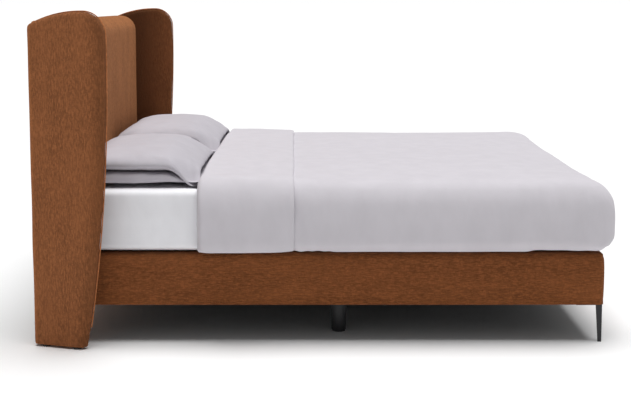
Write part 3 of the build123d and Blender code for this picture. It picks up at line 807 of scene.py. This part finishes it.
class BED_OT_mattress(Operator):
    """Wrap the mattress in its quilted ticking and a white fitted sheet"""
    bl_idname = "bed.mattress"
    bl_label = "Mattress"

    def execute(self, context):
        settings = bedding()
        low, high, middle = bed_low, bed_high, bed_middle
        flat_share, blend_height = 0.6, 0.1
        wave_depth, wave_apart = 0.0016, 0.13
        hem, hem_seen = 0.12, 0.004
        ticking_sink = 0.009

        def crown(place, normal):
            if place.z < middle.z:
                return turn_under(place, normal)
            far = max(abs(place.x - middle.x) / (high.x - middle.x), abs(place.y) / high.y)
            fall = settings.sheet_crown * eased((far - flat_share) / (1 - flat_share))
            wave = wave_depth * (ripple(place, wave_apart, 11) - 1)
            return place + Vector((0, 0, -fall)) * eased((place.z - middle.z) / blend_height) + normal * wave

        def sink(place, normal):
            if place.z < middle.z:
                return turn_under(place, normal)
            return place - Vector((0, 0, ticking_sink)) * eased((place.z - middle.z) / blend_height)

        sheet = mattress_form(
            "fitted_sheet_cloth", inset=0, corner=0.06, edge=0.026, spacing=settings.sheet_mesh,
        )
        shape(sheet, crown)
        form = bmesh.new()
        form.from_mesh(sheet.data)
        under = []
        for face in form.faces:
            at = face.calc_center_median()
            within = abs(at.x - middle.x) < (high.x - low.x) / 2 - hem and abs(at.y) < high.y - hem
            if within and at.z < low.z + hem_seen:
                under.append(face)
        bmesh.ops.delete(form, geom=under, context="FACES")
        form.to_mesh(sheet.data)
        form.free()
        finish_with(sheet, "SOLIDIFY", thickness=settings.sheet_thickness, offset=-1)
        smooth_faces(sheet)
        percale = cotton("White cotton percale", colours().sheet, 1.2)
        dress(sheet, "mattress", percale, ["fitted_sheet"])
        ticking = mattress_form(
            "mattress_ticking", inset=0.006, corner=0.057, edge=0.030, spacing=settings.ticking_mesh,
        )
        shape(ticking, sink)
        smooth_faces(ticking)
        dress(
            ticking, "mattress", quilted_knit("Quilted knit ticking", "#ECECEA"),
            ["mattress_cover", "mattress_top_foam", "mattress_base_foam", "mattress_spring_core"],
        )
        return {"FINISHED"}


# Bedding

def restretched(distance, before, after, reach):
    """A distance from an edge, its first stretch made longer or shorter and the rest fitted to that."""
    if distance < before:
        return distance * after / before
    return after + (distance - before) * (reach - after) / (reach - before)


def round_duvet(place):
    """Turn the duvet's even rounding into a tall soft shoulder under a low crown."""
    settings = bedding()
    edge = duvet_edge
    turn = duvet_top - settings.duvet_crown - settings.duvet_shoulder
    side, foot = duvet_half - abs(place.y), duvet_high.x - place.x
    reach, crown_width, foot_out = 0.35, 0.4, 0.004
    if side < reach:
        new_side = restretched(side, edge, settings.duvet_side_round, reach)
        place.y = (duvet_half - new_side) * (1 if place.y > 0 else -1)
    if foot < reach:
        place.x = duvet_high.x + foot_out - restretched(foot, edge, settings.duvet_foot_round, reach)
    crown = eased((side - edge) / crown_width) * eased((foot - edge) / crown_width)
    base = duvet_top - edge
    if place.z > base:
        place.z = turn + (place.z - base) * settings.duvet_shoulder / edge + settings.duvet_crown * crown
    else:
        place.z = duvet_low.z + (place.z - duvet_low.z) * (turn - duvet_low.z) / (base - duvet_low.z)
    return place


def duvet_waves(place, normal):
    """Soft folds, creases and the turned-in hem of the duvet's outside."""
    settings = bedding()
    low = duvet_low.z
    hang_top, turn_top, hem_height = 0.56, 0.40, 0.06
    broad_depth, hanging_depth, broad_apart = 0.0022, 0.002, 0.30
    fold_apart, small_fold_apart, small_fold_share = 0.16, 0.07, 0.4
    crease_depth, crease_apart = 0.0012, 0.045
    hem_lift, hem_wave, hem_apart = 0.0105, 0.004, 0.075
    # Heights made small, so that folds run upright and creases nearly so
    upright = Vector((place.x, place.y, place.z * 0.12))
    leaning = Vector((place.x, place.y, place.z * 0.4))
    hanging = eased((hang_top - place.z) / (hang_top - low))
    broad = (broad_depth + hanging_depth * hanging) * ripple(place, broad_apart, 13)
    folds = ripple(upright, fold_apart, 15) + small_fold_share * ripple(upright, small_fold_apart, 16)
    fold = settings.duvet_fold_depth * hanging * folds
    crease = crease_depth * ripple(leaning, crease_apart, 14)
    turn = eased((turn_top - place.z) / (turn_top - low))
    past_foot = min(max((place.x - bed_high.x) / (duvet_high.x - bed_high.x), 0), 1)
    past_side = min(max((abs(place.y) - bed_high.y) / (duvet_half - bed_high.y), 0), 1)
    tuck = Vector((settings.duvet_foot_tuck * past_foot, 0, 0))
    tuck.y = settings.duvet_side_tuck * past_side * (1 if place.y > 0 else -1)
    hem = (hem_lift + hem_wave * ripple(upright, hem_apart, 17)) * eased((low + hem_height - place.z) / hem_height)
    return place + normal * (broad + fold + crease) - tuck * turn + Vector((0, 0, hem))


def duvet_body(name):
    """The duvet from under its fold-back to its foot, filled and hanging."""
    settings = bedding()
    piece = node_copy("duvet", name)
    hidden_end, tongue = 0.371, 0.09
    end = duvet_low.x + hidden_end
    middle = Vector(((bed_low.x + bed_high.x) / 2, 0, bed_low.z))

    def trim():
        bpy.ops.mesh.bisect(
            plane_co=(end, 0, 0), plane_no=(1, 0, 0), clear_inner=True, clear_outer=False, use_fill=True,
        )
        bpy.ops.mesh.extrude_region_move(TRANSFORM_OT_translate={"value": (-tongue, 0, 0)})

    edit(piece, trim)
    remesh(piece, settings.duvet_mesh, 2)
    swell(piece, settings.duvet_swell)

    def hang(place, normal):
        if normal.dot(place - middle) < 0:
            return place
        return duvet_waves(round_duvet(place), normal)

    shape(piece, hang)
    finish_with(piece, "SMOOTH", factor=0.4, iterations=2)
    finish_with(piece, "SUBSURF", levels=1, render_levels=1)
    return piece


def fold_stations(spacing):
    """The duvet from its foot: places on its outside and inside, up one side, over the top and down."""
    settings = bedding()
    top = duvet_top - settings.duvet_crown
    turn = top - settings.duvet_shoulder
    gap, inner_drop, inner_round = 0.0035, 0.015, 0.014
    inner_y, inner_top, inner_turn = bed_high.y + gap, bed_high.z + gap, bed_high.z - inner_drop
    shoulder_length, crown_width = settings.duvet_shoulder * 1.3, 0.4
    width = settings.duvet_side_round
    flat = duvet_half - width
    found = []
    # Up the side to where the shoulder starts
    steps = round((turn - duvet_low.z) / spacing)
    for n in range(steps):
        share_up = n / steps
        found.append((
            (-duvet_half, duvet_low.z + (turn - duvet_low.z) * share_up),
            (-inner_y, duvet_low.z + (inner_turn - duvet_low.z) * share_up),
        ))
    # Round the shoulder
    steps = round(shoulder_length / spacing)
    for n in range(steps):
        angle = pi / 2 * n / steps
        share_up = n / steps
        found.append((
            (-duvet_half + width * (1 - cos(angle)), turn + settings.duvet_shoulder * sin(angle)),
            (-inner_y + inner_round * share_up, inner_turn + (inner_top - inner_turn) * share_up),
        ))
    # Over the crown to the middle line, and all of it again on the other side
    steps = round(flat / spacing)
    for n in range(steps + 1):
        share_in = 1 - n / steps
        crown = settings.duvet_crown * eased((1 - share_in) * flat / crown_width)
        found.append(((-flat * share_in, top + crown), (-(inner_y - inner_round) * share_in, inner_top)))
    return found + [((-a[0], a[1]), (-b[0], b[1])) for a, b in reversed(found[:-1])]


def fold_section(long, edge, steps):
    """The fold-back cut along the bed: distance from its head, share of the thickness and share of the step.

    It runs round the fold at the head, along the top, round the hem and down its face, and back underneath.
    The fold and the hem are quarter rounds, and the few points after them are set one by one.
    """
    turn, under_end = bedding().fold_head, 0.05
    ring = [(turn * (1 - cos(a)), 0.3 + 0.7 * sin(a), sin(a)) for a in (n * pi / 12 for n in range(6))]
    ring += [(turn + (long - turn - edge) * n / steps, 1.0, 1.0) for n in range(steps + 1)]
    ring += [(long - edge * (1 - sin(a)), 1.0, cos(a) * 0.5 + 0.5) for a in (pi / 6, pi / 3, pi / 2)]
    ring += [(long - edge * 0.2, 1.0, 0.22), (long - edge * 0.7, 1.0, 0.0), (long - 3 * edge, 0.9, 0.0)]
    return ring + [(long - under_end, 0.0, 0.0), (long / 2, 0.0, 0.0), (turn, 0.0, 0.0), (turn * 0.3, 0.08, 0.0)]


def duvet_fold(name):
    """The end of the duvet turned back over it: one soft band over the bed and down both sides."""
    settings = bedding()
    spacing, along_steps = 0.012, 26
    wander_depth, wander_apart, waver_depth, waver_apart = 0.003, 0.22, 0.001, 0.05
    hem_share, thin_start = 0.85, 0.35
    stations = [(Vector((0, *a)), Vector((0, *b))) for a, b in fold_stations(spacing)]
    form = bmesh.new()
    rings = []
    last = len(stations) - 1
    for number, (outside, inside) in enumerate(stations):
        before, after = stations[max(number - 1, 0)][0], stations[min(number + 1, last)][0]
        along = (after - before).normalized()
        out = Vector((0, -along.z, along.y))
        step = settings.fold_side_step + (settings.fold_step - settings.fold_side_step) * out.z ** 2
        wander = wander_depth * ripple(outside, wander_apart, 31) + waver_depth * ripple(outside, waver_apart, 32)
        long = settings.fold_length - settings.fold_skew * outside.y / bed_high.y + wander
        closing = hem_share if number in (0, last) else 1.0
        ring = []
        for reach, thick, lift in fold_section(long, settings.fold_edge, along_steps):
            late = eased((reach / long - thin_start) / (1 - thin_start))
            thinned = 1 - (1 - settings.fold_edge / settings.fold_step) * late
            place = inside + (outside - inside) * thick * closing + out * step * lift * thinned
            place.x = duvet_low.x + reach
            if thick > 0.5:
                place = duvet_waves(place, out)
            ring.append(form.verts.new(place))
        rings.append(ring)
    for first, second in zip(rings, rings[1:]):
        for n in range(len(first)):
            m = (n + 1) % len(first)
            form.faces.new((first[n], first[m], second[m], second[n]))
    form.faces.new(rings[0])
    form.faces.new(list(reversed(rings[-1])))
    bmesh.ops.recalc_face_normals(form, faces=form.faces)
    mesh = bpy.data.meshes.new(name)
    form.to_mesh(mesh)
    form.free()
    piece = new_piece(name, mesh)
    finish_with(piece, "SUBSURF", levels=1, render_levels=1)
    return piece


class BED_OT_duvet(Operator):
    """Make the duvet that hangs over three sides, folded back at the head"""
    bl_idname = "bed.duvet"
    bl_label = "Duvet"

    def execute(self, context):
        body = duvet_body("duvet_cover")
        fold = duvet_fold("duvet_fold_back")
        choose(body)
        fold.select_set(True)
        bpy.ops.object.join()
        smooth_faces(body, 80)
        cover = cotton("Washed cotton, duvet", colours().duvet, 1.2)
        dress(body, "duvet", cover, ["duvet"])
        return {"FINISHED"}


def fullness(u, w):
    """How full a pillow is at a share of its half length and half width: 0 at the seam, 1 in the middle.

    It is plumper towards the headboard, which it is pushed against, than towards the foot. The higher the
    power of the share, the squarer that end, and the lower the power of the whole, the steeper its rise.
    """
    at_head, at_foot = max(1 - abs(u) ** 2.5, 0) ** 0.5, max(1 - u ** 2, 0) ** 0.65
    across = max(1 - abs(w) ** 3.4, 0) ** 0.5
    return (at_head if u < 0 else at_foot) * across


def fading(distance, reach):
    """1 at no distance, and about a third of it for each further reach."""
    return 2.7 ** (-distance / reach)


def pillow_crease(place, half, seed):
    """Puckers along a pillow's seam and folds that run out of its corners."""
    pucker_depth, pucker_apart, pucker_reach = 0.003, 0.034, 0.04
    fold_depth, fold_apart, fold_start, fold_reach = 0.010, 0.30, 0.05, 0.15
    soft_depth, soft_apart, fine_depth, fine_apart, soft_start = 0.0035, 0.17, 0.0012, 0.06, 0.05
    inside = min(half.x - abs(place.x), half.y - abs(place.y))
    pucker = pucker_depth * ripple(place, pucker_apart, seed) * fading(max(inside, 0), pucker_reach)
    corner = Vector((half.x if place.x > 0 else -half.x, half.y if place.y > 0 else -half.y, 0))
    away = Vector((place.x, place.y, 0)) - corner
    reach = away.length
    spoke = Vector((away.x, away.y, 0)).normalized() if reach > 0.001 else Vector((1, 0, 0))
    swelling = eased(reach / fold_start)
    fold = fold_depth * ripple(spoke + corner, fold_apart, seed + 3) * swelling * fading(reach, fold_reach)
    soft = soft_depth * ripple(place, soft_apart, seed + 1) + fine_depth * ripple(place, fine_apart, seed + 2)
    return pucker + fold + soft * eased(inside / soft_start)


def pillow_form(node, name, seam_share, pressed, seed):
    """A pillow's two cloths filled between their seam: flat where it lies and, if pressed, on top too."""
    settings = bedding()
    low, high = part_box(node)
    half = (high - low) / 2
    height = high.z - low.z
    seam = height * seam_share
    seam_inset, sag_start, top_share, pressed_sag = 0.003, 0.4, 0.96, 0.5
    # The higher these powers, the flatter a pressed top and an underside
    top_flatness, under_flatness = 3, 3.5
    bpy.ops.object.select_all(action="DESELECT")
    bpy.ops.mesh.primitive_grid_add(
        x_subdivisions=round(2 * half.x / settings.pillow_mesh),
        y_subdivisions=round(2 * half.y / settings.pillow_mesh), size=2,
    )
    piece = bpy.context.active_object
    piece.name = piece.data.name = name
    finish_with(piece, "SOLIDIFY", thickness=0.02, offset=0)

    def fill(place, normal):
        u, w = place.x, place.y
        full = fullness(u, w)
        if place.z > 0:
            rise = 1 - (1 - full) ** top_flatness if pressed else full * settings.pillow_fill
            z = seam + (height - seam) * rise * top_share
        else:
            z = seam - seam * (1 - (1 - full) ** under_flatness)
        sag = eased((u - sag_start) / (1 - sag_start))
        z = z * (1 - pressed_sag * sag) if pressed else z - settings.pillow_sag * sag
        return Vector((
            u * (half.x - seam_inset - settings.pillow_draw * (1 - w * w)) + settings.pillow_reach * (u + 1) / 2,
            w * (half.y - seam_inset - settings.pillow_draw * (1 - u * u)), z,
        ))

    shape(piece, fill)
    edit(piece, lambda: bpy.ops.mesh.remove_doubles(threshold=0.0004))
    edit(piece, lambda: bpy.ops.mesh.normals_make_consistent(inside=False))
    shape(piece, lambda place, normal: place + normal * pillow_crease(place, half, seed))
    swell(piece, settings.pillow_swell)
    return piece


def lay_pillow(piece, node, droop, seed):
    """Put a filled pillow in its place, its free corners hanging, nothing through what it lies on."""
    low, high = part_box(node)
    middle, half = (low + high) / 2, (high - low) / 2
    above_sheet, wave_depth, wave_apart = 0.002, 0.0015, 0.11
    bed_top = bed_high.z + above_sheet
    # A corner hangs from these shares of the half length and half width on
    hang_x, hang_y, hang_y_width = 0.55, 0.68, 0.30

    def settle(place, normal):
        place = place + normal * wave_depth * ripple(place, wave_apart, seed)
        place.x = max(place.x, -half.x)
        place.y = min(max(place.y, -half.y), half.y)
        to_foot, to_side = place.x / half.x - hang_x, abs(place.y) / half.y - hang_y
        hang = eased(to_foot / (1 - hang_x)) * eased(to_side / hang_y_width)
        z = min(low.z + place.z, high.z) - droop * hang
        return Vector((middle.x + place.x, middle.y + place.y, max(z, bed_top)))

    shape(piece, settle)
    finish_with(piece, "SUBSURF", levels=1, render_levels=1)
    smooth_faces(piece, 80)


class BED_OT_pillows(Operator):
    """Make the four pillows, two stacked on each side"""
    bl_idname = "bed.pillows"
    bl_label = "Pillows"

    def execute(self, context):
        settings = bedding()
        cover = cotton("Washed cotton, pillow cases", colours().pillow, 1.0)
        # Place in the stack, height of the seam, whether another pillow presses on it, droop and seed
        kinds = (("lower", 0.5, True, 0.0, 41), ("upper", 0.15, False, settings.pillow_droop, 51))
        for place, seam_share, pressed, droop, seed in kinds:
            near_node, far_node = place + "_pillow_near", place + "_pillow_far"
            near = pillow_form(near_node, near_node + "_case", seam_share, pressed, seed)
            far = mirrored(near, far_node + "_case")
            for piece, node, change in ((near, near_node, 1), (far, far_node, 2)):
                lay_pillow(piece, node, droop, seed + change)
                dress(piece, node, cover, [node])
        return {"FINISHED"}


# Finishes of the CAD nodes that show inside or underneath

class BED_OT_finishes(Operator):
    """Give timber, boards, wire, fasteners, foams and linings their finishes"""
    bl_idname = "bed.finishes"
    bl_label = "Finishes"

    def execute(self, context):
        by_slot = {
            # Pale yellow board with brown late wood running along the bed
            "softwood": timber("Planed spruce", "#D9BC8C", "#B98F5A", "x"),
            # A warmer, plainer face whose grain stands up
            "plywood": timber("Birch plywood", "#CFAE7E", "#B48E5C", "z"),
            # Dark brown pressed fibre with hardly any grain
            "hardboard": timber("Smooth hardboard", "#7A5334", "#5F3E26", "z"),
            # Cream and open, like fine bread
            "foam": plain_cloth("Cut polyurethane foam", "#E8DFB4", grain_mm=3, depth_mm=0.4),
            # Off-white and fluffy
            "wadding": plain_cloth("Bonded wadding", "#DEDCD6", grain_mm=6, depth_mm=0.8),
            # Matt near-black with a close tangle
            "black_cloth": plain_cloth("Black nonwoven cloth", "#1D1D1F", grain_mm=2, depth_mm=0.15),
            # Bright grey with a drawn sheen
            "spring_wire": hard_finish(
                "Drawn spring wire", "#A9ABAE", roughness=0.35, metallic=1.0, grain_mm=2, depth_mm=0.02,
            ),
            # Brighter and a little yellow
            "zinc_steel": hard_finish(
                "Zinc-plated steel", "#BFC0BA", roughness=0.3, metallic=1.0, grain_mm=2, depth_mm=0.02,
            ),
            # Satin black with a fine texture
            "black_steel": hard_finish(
                "Black powder coat", "#2A2A2D", roughness=0.55, metallic=0.0, grain_mm=1.2, depth_mm=0.06,
            ),
            # Dull black, smoother than the powder coat
            "black_plastic": hard_finish(
                "Black plastic, moulded", "#26262A", roughness=0.5, metallic=0.0, grain_mm=3, depth_mm=0.05,
            ),
            # White and soft
            "pocket_springs": plain_cloth("White fleece pockets", "#E9E9E6", grain_mm=4, depth_mm=0.4),
        }
        for part in frame["record"]["subparts"]:
            finish = by_slot.get(part["material_slot"])
            if finish:
                mesh = frame["nodes"][part["node"]].data
                mesh.materials.clear()
                mesh.materials.append(finish)
        return {"FINISHED"}


# Stage

class BED_OT_stage(Operator):
    """Set up the pale floor, the soft studio lights and the camera"""
    bl_idname = "bed.stage"
    bl_label = "Stage"

    def execute(self, context):
        settings = context.scene.bed_stage
        bpy.ops.object.select_all(action="DESELECT")
        bpy.ops.mesh.primitive_plane_add(size=settings.floor_size)
        floor = context.active_object
        floor.name = floor.data.name = "studio_floor"
        material, tree, place = new_material("Matt pale studio floor")
        speck = grains(tree, place, 400)
        tone = colours().floor
        surface(tree, blended(tree, speck, toned(tone, 0.985), tone), bump(tree, speck, 0.1), Roughness=0.9)
        floor.data.materials.append(material)
        world = bpy.data.worlds.new("Studio")
        world.use_nodes = True
        tree = world.node_tree
        tree.nodes.clear()
        seen = add_node(tree, "LightPath", {}, {}).outputs["Is Camera Ray"]
        strength = add_node(tree, "MapRange", {}, {0: seen, 3: settings.surround, 4: 1.0}).outputs[0]
        sky = add_node(tree, "Background", {}, {"Color": (1, 1, 1, 1), "Strength": strength})
        add_node(tree, "OutputWorld", {}, {"Surface": sky.outputs[0]})
        context.scene.world = world
        context.scene.view_settings.view_transform = "Standard"
        data = bpy.data.lights.new("overhead", "SUN")
        data.energy, data.angle = settings.overhead, settings.overhead_spread
        lamp = bpy.data.objects.new("overhead", data)
        lean_back, lean_to_foot = radians(-2), radians(3)
        lamp.rotation_euler = (lean_back, lean_to_foot, 0)
        context.scene.collection.objects.link(lamp)
        data = bpy.data.cameras.new("Camera")
        data.lens = settings.lens
        data.shift_y = settings.camera_shift
        camera = bpy.data.objects.new("Camera", data)
        camera.location = (settings.camera_side, -settings.camera_distance, settings.camera_height)
        camera.rotation_euler = (pi / 2 - settings.camera_pitch, 0, 0)
        context.scene.collection.objects.link(camera)
        context.scene.camera = camera
        return {"FINISHED"}


class BED_PT_panel(Panel):
    """The bed's pieces and their settings"""
    bl_label = "Box spring bed"
    bl_space_type = "VIEW_3D"
    bl_region_type = "UI"
    bl_category = "Bed"

    def draw(self, context):
        for operator in OPERATORS:
            self.layout.operator(operator.bl_idname)
        for owner in SETTINGS:
            group = getattr(context.scene, owner)
            for name in group.bl_rna.properties.keys():
                if name not in ("rna_type", "name"):
                    self.layout.prop(group, name)


OPERATORS = (
    BED_OT_finishes, BED_OT_wings, BED_OT_headboard, BED_OT_base, BED_OT_legs, BED_OT_mattress,
    BED_OT_duvet, BED_OT_pillows, BED_OT_stage,
)
SETTINGS = {
    "bed_upholstery": UpholsterySettings,
    "bed_bedding": BeddingSettings,
    "bed_colours": ColourSettings,
    "bed_stage": StageSettings,
}


def register():
    for name, group in SETTINGS.items():
        bpy.utils.register_class(group)
        setattr(bpy.types.Scene, name, PointerProperty(type=group))
    for operator in OPERATORS:
        bpy.utils.register_class(operator)
    bpy.utils.register_class(BED_PT_panel)


def unregister():
    bpy.utils.unregister_class(BED_PT_panel)
    for operator in reversed(OPERATORS):
        bpy.utils.unregister_class(operator)
    for name, group in SETTINGS.items():
        delattr(bpy.types.Scene, name)
        bpy.utils.unregister_class(group)


def main():
    """Make every piece in order."""
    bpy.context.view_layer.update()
    register()
    bpy.ops.bed.finishes()
    bpy.ops.bed.wings()
    bpy.ops.bed.headboard()
    bpy.ops.bed.base()
    bpy.ops.bed.legs()
    bpy.ops.bed.mattress()
    bpy.ops.bed.duvet()
    bpy.ops.bed.pillows()
    bpy.ops.bed.stage()
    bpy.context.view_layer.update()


if __name__ == "__main__":
    main()
